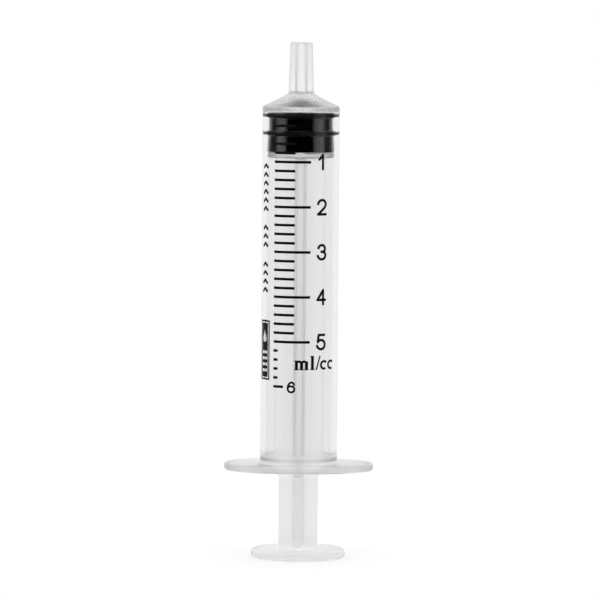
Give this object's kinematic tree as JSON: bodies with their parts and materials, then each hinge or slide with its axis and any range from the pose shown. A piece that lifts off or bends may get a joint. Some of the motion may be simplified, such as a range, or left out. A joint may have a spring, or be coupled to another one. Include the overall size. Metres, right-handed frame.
{
  "type": "oral syringe",
  "caption": "Small clear plastic oral syringe with a slip tip, oval finger flange, sliding black rubber gasket on a cross-ribbed plunger rod, and a printed millilitre scale.",
  "frame": {"origin": "centre of the thumb rest's underside, on the barrel's axis, with the plunger fully in", "axes": "+Z along the barrel's axis from the thumb rest to the tip; X along the finger flange's long axis; the printed scale faces -Y"},
  "size_m": [0.0273, 0.0174, 0.0944],
  "materials": {
    "clear_polypropylene": "clear, slightly milky, satin",
    "natural_polypropylene": "translucent white, satin",
    "black_rubber": "smooth, siliconised",
    "black_ink": "flat screen-printed ink"
  },
  "bodies": {
    "barrel": {"barrel": "clear_polypropylene", "major_graduation_lines": "black_ink", "minor_graduation_lines": "black_ink", "extended_graduation_lines": "black_ink", "numeral_1": "black_ink", "numeral_2": "black_ink", "numeral_3": "black_ink", "numeral_4": "black_ink", "numeral_5": "black_ink", "numeral_6": "black_ink", "unit_marking": "black_ink", "side_marking": "black_ink", "marking_panel": "black_ink"},
    "gasket": {"gasket": "black_rubber"},
    "plunger": {"plunger_rod": "natural_polypropylene"}
  },
  "joints": [
    {"name": "plunger_slide", "type": "slide", "parent": "barrel", "child": "gasket", "axis": [0, 0, -1], "range_m": [0, 0.054]},
    {"name": "rod_swivel", "type": "hinge", "parent": "gasket", "child": "plunger", "pos_m": [0, 0, 0], "axis": [0, 0, 1], "continuous": true}
  ]
}
